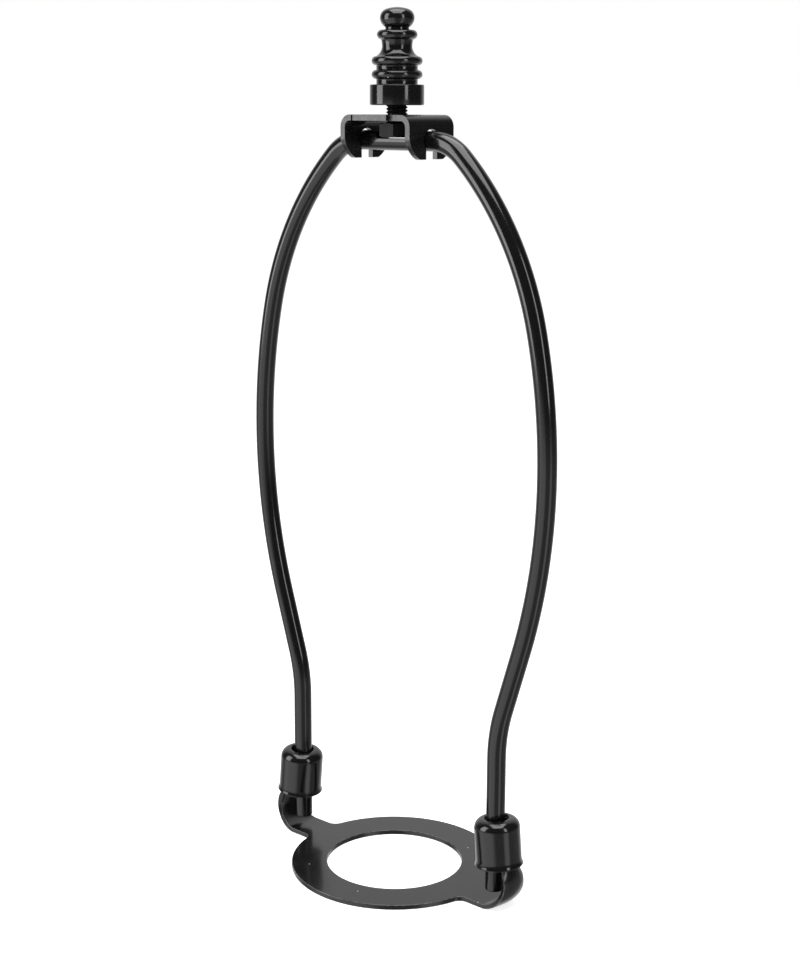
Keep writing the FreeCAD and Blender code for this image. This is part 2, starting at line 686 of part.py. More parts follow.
def make_saddle():
    """One folded sheet: a holed round plate and two tabs drawn up into hollow ears."""
    body = new_body("saddle")
    flat = new_sketch(body, "plate_outline", "XY_Plane")
    centred_circle(flat, size("plate_dia"))
    pad(body, "plate", flat, size("sheet"))
    strip = new_sketch(body, "tab_outline", "XY_Plane")
    reach, half = tab_reach(), size("tab_width") / 2
    outline(strip, [(reach * -1, half * -1), (reach, half * -1), (reach, half), (reach * -1, half)])
    tabs = pad(body, "tabs", strip, size("sheet"))
    doc.recompute()
    corners = []
    for index, edge in enumerate(tabs.Shape.Edges):
        middle = edge.BoundBox.Center
        upright = edge.BoundBox.ZLength > SIZES["sheet"][0] * 0.9 and edge.Length < SIZES["sheet"][0] * 1.1
        if upright and abs(math.hypot(middle.x, middle.y) - SIZES["plate_dia"][0] / 2) < 0.05:
            corners.append("Edge%d" % (index + 1))
    rounded = body.newObject("PartDesign::Fillet", "tab_corners")
    rounded.Base = (tabs, corners)
    bind(rounded, "Radius", size("tab_fillet"))
    hole = new_sketch(body, "socket_outline", "XY_Plane")
    centred_circle(hole, size("socket_hole"))
    cut_through(body, "socket_way", hole)
    sections = [ear_section(body, "ear_section_%d" % number, station)
                for number, station in enumerate(ear_stations(), start=1)]
    drawn_up = body.newObject("PartDesign::AdditiveLoft", "ear_bend")
    drawn_up.Profile = sections[0]
    drawn_up.Sections = sections[1:-1]
    straight = body.newObject("PartDesign::AdditiveLoft", "ear_tip")
    straight.Profile = sections[-2]
    straight.Sections = [sections[-1]]
    straight.Ruled = True
    half_turn_copy(body, "both_ears", [drawn_up, straight])
    return body


def check(nodes):
    for item in doc.Objects:
        for word in ("Invalid", "Error"):
            if word in item.State:
                raise RuntimeError("%s is %s" % (item.Name, item.State))
    for node in nodes:
        if node.Shape.isNull() or not node.Shape.isValid() or len(node.Shape.Solids) != 1:
            raise RuntimeError("%s has no single valid solid" % node.Label)


os.makedirs("parts", exist_ok=True)
doc = FreeCAD.newDocument("lamp_harp")
make_sheet()
nodes = [
    make_saddle(),
    make_harp_wire(),
    make_top_bracket(),
    make_swivel_stud(),
    make_finial(),
    make_ferrule("left_ferrule", -1),
    make_ferrule("right_ferrule", 1),
]
doc.recompute()
check(nodes)
for node in nodes:
    node.Shape.exportStep("parts/%s.step" % node.Label)
    bounds = node.Shape.BoundBox
    print("%-14s volume %8.1f  x %6.1f..%6.1f  y %6.1f..%6.1f  z %6.1f..%6.1f" % (
        node.Label, node.Shape.Volume, bounds.XMin, bounds.XMax, bounds.YMin, bounds.YMax,
        bounds.ZMin, bounds.ZMax))
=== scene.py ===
import math

import bmesh
import bpy
from bpy.props import FloatProperty, FloatVectorProperty, IntProperty, PointerProperty
from mathutils import Matrix, Vector


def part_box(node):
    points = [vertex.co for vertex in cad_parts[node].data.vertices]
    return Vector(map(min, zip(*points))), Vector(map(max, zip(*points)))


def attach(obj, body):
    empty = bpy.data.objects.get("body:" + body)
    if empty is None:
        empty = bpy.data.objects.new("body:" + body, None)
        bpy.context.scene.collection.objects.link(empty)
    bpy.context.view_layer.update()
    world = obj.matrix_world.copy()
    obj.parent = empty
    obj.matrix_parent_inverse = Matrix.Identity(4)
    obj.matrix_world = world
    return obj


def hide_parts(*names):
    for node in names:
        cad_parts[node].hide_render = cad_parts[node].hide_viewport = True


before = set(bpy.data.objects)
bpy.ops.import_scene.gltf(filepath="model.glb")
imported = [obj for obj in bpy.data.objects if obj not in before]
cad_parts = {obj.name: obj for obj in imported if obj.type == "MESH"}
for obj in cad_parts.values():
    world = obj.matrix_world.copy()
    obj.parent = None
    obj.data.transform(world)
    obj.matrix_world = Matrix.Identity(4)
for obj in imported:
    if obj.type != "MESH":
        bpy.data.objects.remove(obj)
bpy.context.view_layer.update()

bl_info = {
    "name": "Lamp Harp",
    "version": (1, 0, 0),
    "blender": (4, 5, 0),
    "location": "View3D > Sidebar > Harp",
    "description": "Models a lamp harp of black enamelled steel, "
                   "with its bracket, finial, ferrules and saddle",
    "category": "Add Mesh",
}

MM = 0.001
MICRON = 0.000001
LEG_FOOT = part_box("harp_wire")[0].z
BRACKET_LOW, BRACKET_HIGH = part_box("top_bracket")
FINIAL_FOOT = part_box("finial")[0].z


# Drawing helpers: each stands for a few strokes made by hand in edit mode.

def deselect_all():
    """Leaves edit mode and drops the selection."""
    if bpy.context.mode != "OBJECT":
        bpy.ops.object.mode_set(mode="OBJECT")
    bpy.ops.object.select_all(action="DESELECT")


def take(piece):
    """Selects one piece alone and makes it the active one."""
    deselect_all()
    piece.select_set(True)
    bpy.context.view_layer.objects.active = piece


def edit(piece):
    """Opens a piece's mesh with all its vertices selected."""
    take(piece)
    bpy.ops.object.mode_set(mode="EDIT")
    bpy.ops.mesh.select_mode(type="VERT")
    bpy.ops.mesh.select_all(action="SELECT")


def take_primitive(name):
    """Names the primitive just added, puts its place in its mesh and opens it."""
    piece = bpy.context.object
    piece.name = piece.data.name = name
    bpy.ops.object.transform_apply(location=True, rotation=True, scale=True)
    edit(piece)
    return piece


def pick(piece, test, kind="VERT"):
    """Selects the vertices or the faces of an open mesh that pass the test."""
    bpy.ops.mesh.select_mode(type=kind)
    bpy.ops.mesh.select_all(action="DESELECT")
    mesh = bmesh.from_edit_mesh(piece.data)
    mesh.verts.index_update()
    for item in (mesh.verts if kind == "VERT" else mesh.faces):
        if test(item):
            item.select_set(True)
    if kind == "VERT":
        mesh.select_flush(True)
    bmesh.update_edit_mesh(piece.data)


def pick_numbers(piece, numbers):
    """Selects vertices by their number in the mesh."""
    pick(piece, lambda vertex: vertex.index in numbers)


def picked_numbers(piece):
    """The numbers of the selected vertices with their y, from the least y to the greatest."""
    mesh = bmesh.from_edit_mesh(piece.data)
    mesh.verts.index_update()
    return sorted((vertex.co.y, vertex.index) for vertex in mesh.verts if vertex.select)


def move(x=0.0, y=0.0, z=0.0):
    bpy.ops.transform.translate(value=(x, y, z))


def scale_about(centre, x=1.0, y=1.0, z=1.0):
    bpy.ops.transform.resize(value=(x, y, z), center_override=centre)


def turn_about(centre, axis, angle):
    """Right-handed turn of the selection about one of the world's axes."""
    bpy.ops.transform.rotate(value=-angle, orient_axis=axis, center_override=centre)


def extrude(x=0.0, y=0.0, z=0.0):
    bpy.ops.mesh.extrude_region_move(TRANSFORM_OT_translate={"value": (x, y, z)})


def sweep(centre, angle, steps, axis=(0, 1, 0)):
    """Spins the selection; about Y a positive angle goes from +X to +Z."""
    bpy.ops.mesh.spin(steps=steps, angle=angle, center=centre, axis=axis)


def seal(piece, gap=1e-6):
    """Opens a piece, merges its doubles and points all its faces outwards."""
    edit(piece)
    bpy.ops.mesh.remove_doubles(threshold=gap)
    bpy.ops.mesh.normals_make_consistent(inside=False)


class Outline:
    """An outline in the front view, drawn from point to point in x and z."""

    def __init__(self, name, x, z):
        deselect_all()
        bpy.ops.mesh.primitive_plane_add(size=0.001, location=(x, 0.0, z))
        self.piece = take_primitive(name)
        bpy.ops.mesh.merge(type="CENTER")
        self.here = Vector((x, z))

    def line(self, x, z):
        there = Vector((x, z))
        step = there - self.here
        extrude(x=step.x, z=step.y)
        self.here = there

    def arc(self, x, z, radius, steps):
        """A positive radius bulges to the right of the direction of travel."""
        there = Vector((x, z))
        chord = there - self.here
        side = 1.0 if radius > 0 else -1.0
        half = min(chord.length / 2 / abs(radius), 1.0)
        right = Vector((chord.y, -chord.x)).normalized()
        rise = abs(radius) * math.sqrt(1.0 - half * half)
        centre = (self.here + there) / 2 - right * rise * side
        sweep((centre.x, 0.0, centre.y), 2 * math.asin(half) * side, steps)
        self.here = there

    def path(self, *stops):
        """Draws on through stops: (x, z) for a line, (x, z, radius, steps) for an arc."""
        for stop in stops:
            if len(stop) == 2:
                self.line(*stop)
            else:
                self.arc(*stop)
        return self

    def close(self):
        """Joins the last point to the first."""
        bpy.ops.mesh.select_all(action="SELECT")
        bpy.ops.mesh.remove_doubles(threshold=1e-7)

    def lathe(self, steps):
        """Turns the outline about the Z axis."""
        bpy.ops.mesh.select_all(action="SELECT")
        sweep((0, 0, 0), 2 * math.pi, steps, axis=(0, 0, 1))
        seal(self.piece)
        return self.piece

    def slab(self, near, far):
        """Fills the outline and pulls it out along Y."""
        self.close()
        bpy.ops.mesh.edge_face_add()
        move(y=near)
        extrude(y=far - near)
        seal(self.piece)
        return self.piece


def modify(piece, kind, **values):
    """Adds a modifier, sets it and applies it."""
    take(piece)
    bpy.ops.object.modifier_add(type=kind)
    modifier = piece.modifiers[-1]
    for name, value in values.items():
        setattr(modifier, name, value)
    bpy.ops.object.modifier_apply(modifier=modifier.name)


def mirror(piece, x=False, y=False):
    """Adds the other half of a piece, mirrored in x or in y."""
    modify(piece, "MIRROR", use_axis=(x, y, False), merge_threshold=1e-6)


def cut(piece, cutter, operation="DIFFERENCE"):
    """Cuts one mesh with another, which is used up."""
    modify(piece, "BOOLEAN", object=cutter, operation=operation, solver="EXACT")
    take(cutter)
    bpy.ops.object.delete()


def join(piece, other):
    """Makes two closed meshes one piece, the second sunk a little into the first."""
    take(piece)
    other.select_set(True)
    bpy.ops.object.join()


def box_cutter(low, high):
    deselect_all()
    bpy.ops.mesh.primitive_cube_add(
        size=1.0, location=[(a + b) / 2 for a, b in zip(low, high)],
        scale=[b - a for a, b in zip(low, high)])
    return take_primitive("cutter")


def round_cutter(radius, length, place, steps, tilt=0.0):
    deselect_all()
    bpy.ops.mesh.primitive_cylinder_add(
        vertices=steps, radius=radius, depth=length, location=place, rotation=(0, tilt, 0))
    return take_primitive("cutter")


def clean_cuts(piece, gap):
    """Melts the crumbs that cuts leave: very short edges, and edges inside a flat face."""
    seal(piece, gap)
    bpy.ops.mesh.dissolve_limited(angle_limit=math.radians(1.0))


def break_edges(piece, width, angle):
    """Rounds the edges sharper than the angle a little, as paint and tumbling do."""
    modify(piece, "BEVEL", width=width, segments=3, limit_method="ANGLE",
           angle_limit=math.radians(angle), use_clamp_overlap=True)


def smooth(piece, angle, weighted=False):
    """Shades smooth across the edges that bend less than the angle."""
    take(piece)
    bpy.ops.object.shade_smooth_by_angle(angle=math.radians(angle))
    if weighted:
        modify(piece, "WEIGHTED_NORMAL", keep_sharp=True, weight=80)


def coat_with(piece, finish):
    piece.data.materials.clear()
    piece.data.materials.append(bpy.data.materials[finish])


def coat_faces(piece, finish, test):
    """Gives the faces that pass the test a finish of their own."""
    take(piece)
    piece.data.materials.append(bpy.data.materials[finish])
    piece.active_material_index = 1
    bpy.ops.object.mode_set(mode="EDIT")
    pick(piece, test, "FACE")
    bpy.ops.object.material_slot_assign()
    bpy.ops.object.mode_set(mode="OBJECT")


def hand_over(piece, node, body):
    """Puts the finished piece in the CAD node's place."""
    deselect_all()
    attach(piece, body)
    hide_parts(node)


# Materials: shared surface effects are node groups, placed in each finish.

def empty_tree(owner):
    """Switches a material or the world to nodes and clears them."""
    owner.use_nodes = True
    owner.node_tree.nodes.clear()
    return owner.node_tree


def add_group(name, inputs, outputs):
    """A node group over a Vector; its other inputs and its outputs are single values."""
    group = bpy.data.node_groups.new(name, "ShaderNodeTree")
    group.interface.new_socket(name="Vector", in_out="INPUT", socket_type="NodeSocketVector")
    for title, default in inputs.items():
        socket = group.interface.new_socket(
            name=title, in_out="INPUT", socket_type="NodeSocketFloat")
        socket.default_value = default
    for title in outputs:
        group.interface.new_socket(name=title, in_out="OUTPUT", socket_type="NodeSocketFloat")
    start = group.nodes.new("NodeGroupInput")
    end = group.nodes.new("NodeGroupOutput")
    return group, start.outputs, end.inputs


def node(tree, kind, inputs=None, **settings):
    """Adds a node; an input may be a number or another node's output."""
    made = tree.nodes.new(kind)
    for name, value in settings.items():
        setattr(made, name, value)
    for name, value in (inputs or {}).items():
        socket = made.inputs[name]
        if isinstance(value, bpy.types.NodeSocket):
            tree.links.new(value, socket)
        else:
            socket.default_value = value
    return made


def math_node(tree, operation, *values, clamp=False):
    return node(tree, "ShaderNodeMath", dict(enumerate(values)), operation=operation,
                use_clamp=clamp).outputs[0]


def noise(tree, vector, scale, detail, roughness=0.5):
    return node(tree, "ShaderNodeTexNoise", {
        "Vector": vector, "Scale": scale, "Detail": detail,
        "Roughness": roughness}).outputs["Fac"]


def blend(tree, share, first, second):
    """The first colour, going over to the second as the share grows."""
    return node(tree, "ShaderNodeMix", {"Factor": share, "A": first, "B": second},
                data_type="RGBA").outputs["Result"]


def orange_peel_group():
    """Soft waves and a fine grain, as sprayed enamel dries."""
    group, start, end = add_group(
        "Enamel Orange Peel", {"Wave Scale": 900.0, "Grain": 0.15}, ("Height", "Thickness"))
    place, scale = start["Vector"], start["Wave Scale"]
    waves = noise(group, place, scale, 1.5, 0.45)
    grain = noise(group, place, math_node(group, "MULTIPLY", scale, 4.3), 2.0)
    height = math_node(group, "MULTIPLY_ADD", grain, start["Grain"], waves)
    group.links.new(height, end["Height"])
    group.links.new(noise(group, place, 70.0, 3.0), end["Thickness"])


def thin_paint_group():
    """Ragged patches where the paint is thin, more of them as the amount goes up."""
    group, start, end = add_group("Thin Paint", {"Amount": 0.0, "Scale": 900.0}, ("Mask",))
    breaks = noise(group, start["Vector"], start["Scale"], 3.0)
    low = math_node(group, "SUBTRACT", 0.8, start["Amount"])
    mask = math_node(group, "SUBTRACT", breaks, low)
    group.links.new(math_node(group, "MULTIPLY", mask, 4.0, clamp=True), end["Mask"])


def speck_group():
    """Small pale dust grains and pin chips, few and far between."""
    group, start, end = add_group(
        "Dust Specks", {"Scale": 420.0, "Size": 0.08, "Share": 0.08}, ("Mask",))
    cells = node(group, "ShaderNodeTexVoronoi", {
        "Vector": start["Vector"], "Scale": start["Scale"]}).outputs
    near = math_node(group, "LESS_THAN", cells["Distance"], start["Size"])
    draw = node(group, "ShaderNodeSeparateColor", {"Color": cells["Color"]}).outputs["Red"]
    chosen = math_node(group, "LESS_THAN", draw, start["Share"])
    group.links.new(math_node(group, "MULTIPLY", near, chosen), end["Mask"])


def drawn_line_group():
    """Fine lines that a die or a turning tool leaves under the paint."""
    group, start, end = add_group("Drawn Lines", {"Scale": 500.0}, ("Value",))
    group.links.new(noise(group, start["Vector"], start["Scale"], 4.0, 0.6), end["Value"])


def enamel_finish(name, settings, waves, stretch=(1.0, 1.0, 1.0), line_scale=500.0, lines=0.0,
                  thin=0.0, specks=0.01, lift=0.0, gloss=0.0, shine=0.5, coated=True):
    """Black enamel on steel: peel, thin paint, drawn lines and a few specks.

    Waves and lines are heights in microns. Lift makes the black paler, in places as painted
    sheen; gloss makes it duller.
    """
    tree = empty_tree(bpy.data.materials.new(name))
    place = node(tree, "ShaderNodeTexCoord").outputs["Object"]
    along = node(tree, "ShaderNodeMapping", {"Vector": place, "Scale": stretch})

    def effect(title, inputs):
        return node(tree, "ShaderNodeGroup", inputs,
                    node_tree=bpy.data.node_groups[title]).outputs

    peel = effect("Enamel Orange Peel", {"Vector": place, "Grain": 0.03})
    thinned = effect("Thin Paint", {"Vector": place, "Amount": thin})["Mask"]
    dust = effect("Dust Specks", {"Vector": place, "Share": specks})["Mask"]
    drawn = effect("Drawn Lines", {"Vector": along.outputs[0], "Scale": line_scale})["Value"]

    dark = [channel * (1.0 + lift) for channel in settings.colour]
    pale = [channel * 1.6 + 0.001 for channel in dark]
    bare_steel, grain = (0.16, 0.155, 0.15, 1.0), (0.62, 0.6, 0.57, 1.0)
    colour = blend(tree, peel["Thickness"], (*dark, 1.0), (*pale, 1.0))
    bare = math_node(tree, "MULTIPLY", thinned, settings.wear)
    colour = blend(tree, dust, blend(tree, bare, colour, bare_steel), grain)

    base = settings.roughness + gloss
    rough = node(tree, "ShaderNodeMapRange", {
        "Value": drawn, "From Min": 0.25, "From Max": 0.75,
        "To Min": base - 0.04, "To Max": base + 0.06}).outputs["Result"]
    coat = settings.coat if coated else 0.0
    relief = math_node(tree, "MULTIPLY", peel["Height"], waves * MICRON)
    relief = math_node(tree, "MULTIPLY_ADD", drawn, lines * MICRON, relief)
    bump = node(tree, "ShaderNodeBump", {"Height": relief, "Strength": 1.0, "Distance": 1.0})
    shader = node(tree, "ShaderNodeBsdfPrincipled", {
        "Base Color": colour,
        "Roughness": math_node(tree, "MULTIPLY_ADD", dust, 0.5, rough, clamp=True),
        "IOR": 1.52, "Specular IOR Level": shine,
        "Coat Weight": math_node(tree, "MULTIPLY_ADD", thinned, -0.3, coat, clamp=True),
        "Coat Roughness": 0.06, "Coat IOR": 1.5,
        "Normal": bump.outputs["Normal"]})
    node(tree, "ShaderNodeOutputMaterial", {"Surface": shader.outputs["BSDF"]})


# Settings: one group for each part of the harp, lengths given in millimetres.

def length(name, description, millimetres):
    return FloatProperty(name=name, description=description, default=millimetres * MM,
                         unit="LENGTH")


def share(name, description, default):
    return FloatProperty(name=name, description=description, default=default, min=0.0, max=1.0,
                         subtype="FACTOR")


def power(name, description, watts):
    return FloatProperty(name=name, description=description, default=watts, min=0.0,
                         subtype="POWER", unit="POWER")


def count(name, description, default):
    return IntProperty(name=name, description=description, default=default, min=12, max=256)


class HarpEnamelSettings(bpy.types.PropertyGroup):
    """The black enamel that all the pieces share."""
    colour: FloatVectorProperty(
        name="Colour", description="Colour of the enamel", subtype="COLOR", size=3,
        min=0.0, max=1.0, default=(0.0042, 0.0042, 0.0047))
    roughness: share("Roughness", "How much the gloss spreads", 0.2)
    coat: share("Clear coat", "Share of the hard top gloss", 0.35)
    wear: share("Thin paint", "How far the steel shows through where the paint is thin", 0.5)


class HarpWireSettings(bpy.types.PropertyGroup):
    """The bow."""
    wire: length("Wire", "Diameter of the steel wire", 5.6)
    bow_width: length("Width", "Centre line to centre line at the widest place", 112.0)
    belly: share("Belly", "Height of the widest place over the height of the wire", 0.5926)
    level_run: length("Level run", "Straight wire through the bracket", 27.5)
    shoulder: length("Shoulder bend", "Radius of the bend beside the bracket", 15.7)
    fullness: FloatProperty(
        name="Fullness", description="Bend of the side over the tightest that fits",
        default=1.314)
    crown_share: share(
        "Crown share", "Bend of the upper side over shoulder and side bends together", 0.473)
    slant_share: share(
        "Slant share", "Share of the way in from belly to foot that the bends make", 0.639)
    foot_bend: length("Foot bend", "Radius of the bend above the foot", 50.0)
    foot_spacing: length("Foot spacing", "Centre line to centre line of the feet", 80.0)
    foot_round: length("Foot rounding", "Rounded edge of the wire's cut ends", 0.4)
    sides: count("Sides", "Faces around the wire", 40)
    flat_length: length("Pressed flat", "Length of the pressed seat for the stud", 11.4)
    flat_depth: length("Flat depth", "Depth of the pressed seat", 2.2)
    flat_ease: length("Flat ease", "Length over which the seat rises to the wire", 0.9)
    drop: length("Wire drop", "Top of the bracket down to the wire's centre line", 7.2)


class HarpBracketSettings(bpy.types.PropertyGroup):
    """The folded bracket and the stud in it."""
    sheet: length("Sheet", "Thickness of the folded sheet", 1.7)
    bend: length("Bend", "Outside radius between plate and leg", 3.4)
    keyhole: length("Keyhole", "Diameter of the hole around the wire", 6.5)
    mouth: length("Mouth", "Gap between the two teeth of a leg", 4.6)
    tooth: length("Tooth", "Flat end of a tooth", 2.5)
    skirt: length("Skirt", "Top of the bracket down to the round lower corner", 6.6)
    corner: length("Corner", "Radius of the round lower corner of a leg", 8.2)
    notch: length("Notch", "Width of the locating notch", 3.2)
    notch_place: length("Notch place", "Middle of the bracket to the notch", 6.0)
    nick: length("Nick", "Width of the shear nick", 0.5)
    nick_place: length("Nick place", "Middle of the bracket to the nick", 8.8)
    mark_depth: length("Mark depth", "How far notch and nick go in from the edge", 1.3)
    edge: length("Edges", "Rounding of the cut edges", 0.22)
    play: length("Play", "Gap around the stud and above the wire", 0.1)
    stud: length("Stud", "Outside diameter of the thread", 6.25)
    head: length("Head", "Across the flats of the hexagon", 9.0)
    head_height: length("Head height", "Thickness of the hexagon", 4.0)
    pitch: length("Pitch", "One turn of the thread, 27 to the inch", 25.4 / 27)


class HarpFinialSettings(bpy.types.PropertyGroup):
    """The turned finial."""
    base: length("Base", "Diameter of the plain cylinder", 15.4)
    ring: length("Rings", "Diameter of the two rings", 14.4)
    waist: length("Waist", "Diameter between base, rings and bell", 11.7)
    collar: length("Collar", "Diameter of the collar under the ball", 11.4)
    neck: length("Neck", "Diameter between collar and ball", 6.7)
    ball: length("Ball", "Diameter of the flattened ball", 9.7)
    bore: length("Bore", "Diameter of the tapped hole", 6.35)
    bore_depth: length("Bore depth", "Depth of the tapped hole's full width", 15.0)
    steps: count("Steps", "Faces around the finial", 128)


class HarpFerruleSettings(bpy.types.PropertyGroup):
    """The two ferrules over the feet."""
    outside: length("Outside", "Diameter of the sleeve", 13.6)
    wall: length("Wall", "Thickness of the sleeve", 0.8)
    length: length("Length", "Top to lip", 14.2)
    hole: length("Hole", "Hole for the wire", 7.2)
    shoulder: length("Shoulder", "Outside radius of the top edge", 2.8)
    flare: length("Lip flare", "Lip wider than the sleeve, on the radius", 0.4)
    top: length("Top", "Height of the ferrule's top", 27.2)
    shift: length("Shift", "Hole's centre outside the wire's", 0.4)
    lean: FloatProperty(
        name="Lean", description="Foot of the ferrule leans outwards",
        default=math.radians(5.0), subtype="ANGLE")


class HarpSaddleSettings(bpy.types.PropertyGroup):
    """The saddle with its two ears."""
    plate: length("Plate", "Diameter of the round plate", 64.0)
    hole: length("Hole", "Diameter of the socket hole", 42.0)
    sheet: length("Sheet", "Thickness of the sheet", 1.5)
    tab: length("Tab", "Width of the tab at the plate", 11.2)
    fillet: length("Fillet", "Inside corner between plate and tab", 3.0)
    reach: length("Tab reach", "Flat part of the tab from the middle", 36.4)
    ear_bend: length("Ear bend", "Middle of the sheet in the upward bend", 7.65)
    ear_top: length("Ear top", "Height of the ear's tip", 24.0)
    edge: length("Edges", "Rounding of the cut edges", 0.22)
    play: length("Play", "Gap between ear and wire, and ear and ferrule", 0.3)


class HarpStageSettings(bpy.types.PropertyGroup):
    """Camera, lamps and floor."""
    camera_place: FloatVectorProperty(
        name="Camera", description="Place of the camera", subtype="TRANSLATION", size=3,
        default=(0.330744, -0.36532, 0.23192))
    focal_pixels: FloatProperty(
        name="Focal length", description="Focal length in pixels of the picture",
        default=1700.0)
    key_power: power("Left softbox", "Power of the large lamp on the left", 5.0)
    fill_power: power("Right softbox", "Power of the lamp on the right", 1.6)
    top_power: power("Top softbox", "Power of the lamp overhead", 9.0)


def setting(name):
    return getattr(bpy.context.scene, "harp_" + name)


class HARP_OT_finishes(bpy.types.Operator):
    """Mixes the black enamel of each piece"""
    bl_idname = "harp.finishes"
    bl_label = "Enamel Finishes"

    def execute(self, context):
        orange_peel_group()
        thin_paint_group()
        speck_group()
        drawn_line_group()
        enamel = setting("enamel")
        along_wire, around_axis = (1.0, 1.0, 0.05), (0.05, 0.05, 1.0)
        along_sleeve = (1.0, 1.0, 0.06)
        enamel_finish("wire_enamel", enamel, 1.2, along_wire, 900.0, 0.8, gloss=-0.06)
        enamel_finish("bracket_enamel", enamel, 1.5, lift=0.1)
        # cut sides: thin paint, and lift 4.0 makes their black five times paler, a painted sheen
        # for the white surroundings they reflect
        enamel_finish("cut_edge_wear_and_sheen_enamel", enamel, 4.0, thin=0.3, lift=4.0, gloss=0.08,
                      shine=0.7, coated=False)
        enamel_finish("finial_enamel", enamel, 0.8, around_axis, 1500.0, 0.4, gloss=-0.08)
        enamel_finish("ferrule_enamel", enamel, 0.6, along_sleeve, 900.0, 0.4, gloss=-0.06)
        enamel_finish("saddle_enamel", enamel, 1.0, thin=0.04, specks=0.02, lift=0.3)
        # upper rims: thin paint and chips, and lift 4.0 makes their black five times paler, a
        # painted highlight along the top edges
        enamel_finish("rim_chips_and_highlight_enamel", enamel, 2.0, thin=0.42, specks=0.25, lift=4.0, gloss=0.05)
        enamel_finish("stud_enamel", enamel, 1.2, thin=0.1, lift=1.5, gloss=0.16,
                      shine=0.12, coated=False)
        return {"FINISHED"}


class HARP_OT_wire(bpy.types.Operator):
    """Sweeps the bow's wire through its bends and presses the seat for the stud"""
    bl_idname = "harp.wire"
    bl_label = "Bow"

    def execute(self, context):
        s = setting("wire")
        height = BRACKET_HIGH.z - s.drop
        radius = s.wire / 2
        shoulder_centre = Vector((s.level_run / 2, 0, height - s.shoulder))
        belly = height * s.belly
        across = (s.bow_width - s.level_run) / 2
        up = height - s.shoulder - belly
        side = s.fullness * (across ** 2 + up ** 2 - s.shoulder ** 2) / (across - s.shoulder) / 2
        crown = s.crown_share * (side + s.shoulder)
        way_in = (s.bow_width - s.foot_spacing) / 2
        slant = math.acos(1 - way_in * s.slant_share / (side + s.foot_bend))
        side_centre = Vector((s.bow_width / 2 - side, 0, belly))
        # the crown's centre, from its distances to the other two centres
        near, far = crown - s.shoulder, side - crown
        apart = side_centre - shoulder_centre
        along = (apart.length_squared + near ** 2 - far ** 2) / (2 * apart.length)
        aside = math.sqrt(near ** 2 - along ** 2)
        unit = apart.normalized()
        crown_centre = shoulder_centre + unit * along + Vector((-unit.z, 0, unit.x)) * aside

        def bearing(direction):
            return math.atan2(direction.z, direction.x)

        first = math.pi / 2
        second = bearing(shoulder_centre - crown_centre)
        third = bearing(crown_centre - side_centre)
        side_end = side_centre + Vector((math.cos(slant), 0, -math.sin(slant))) * side
        foot_x = s.foot_spacing / 2
        run = (side_end.x - foot_x - s.foot_bend * (1 - math.cos(slant))) / math.sin(slant)
        straight = Vector((-math.sin(slant), 0, -math.cos(slant))) * run
        bend_z = side_end.z + straight.z - s.foot_bend * math.sin(slant)

        # half of the bow, from the middle of the level run out and down to one foot
        deselect_all()
        bpy.ops.mesh.primitive_circle_add(
            vertices=s.sides, radius=radius, location=(0, 0, height),
            rotation=(0, math.pi / 2, 0))
        piece = take_primitive("wire_bow")
        flat, ease = s.flat_length / 2, s.flat_ease
        here = 0.0
        for there in (flat / 2, flat - ease, flat - ease / 2, flat, flat + 0.25 * MM,
                      s.level_run / 2):
            extrude(x=there - here)
            here = there
        sweep(shoulder_centre, second - first, 14)
        sweep(crown_centre, third - second, 36)
        sweep(side_centre, -slant - third, 40)
        extrude(*straight)
        sweep((foot_x + s.foot_bend, 0, bend_z), slant, 10)
        extrude(z=LEG_FOOT + s.foot_round - bend_z)
        quarter = [step * math.pi / 8 for step in range(5)]
        for one, two in zip(quarter, quarter[1:]):
            wide, narrow = (radius - s.foot_round * (1 - math.cos(turn)) for turn in (one, two))
            extrude(z=s.foot_round * (math.sin(one) - math.sin(two)))
            scale_about((foot_x, 0, 0), x=narrow / wide, y=narrow / wide)
        bpy.ops.mesh.extrude_region_move()
        scale_about((foot_x, 0, 0), x=0.5, y=0.5)
        bpy.ops.mesh.edge_face_add()

        # the pressed seat: cut level, pushed down from above, and spread at its sides
        floor = height + radius - s.flat_depth
        pick(piece, lambda face: face.calc_center_median().x < flat - ease / 3, "FACE")
        bpy.ops.mesh.bisect(plane_co=(0, 0, floor), plane_no=(0, 0, 1))
        pick(piece, lambda vertex: vertex.co.x < flat - ease / 3 and vertex.co.z > floor + 1e-6)
        scale_about((0, 0, floor), z=0.0)
        pick(piece, lambda vertex: vertex.co.x < flat - ease * 2 / 3
             and abs(vertex.co.z - floor) < 1e-6 and abs(vertex.co.y) > 1.9 * MM)
        scale_about((0, 0, floor), y=1.05)

        mirror(piece, x=True)
        seal(piece)
        smooth(piece, 28.0)
        coat_with(piece, "wire_enamel")
        hand_over(piece, "harp_wire", "bow")
        return {"FINISHED"}


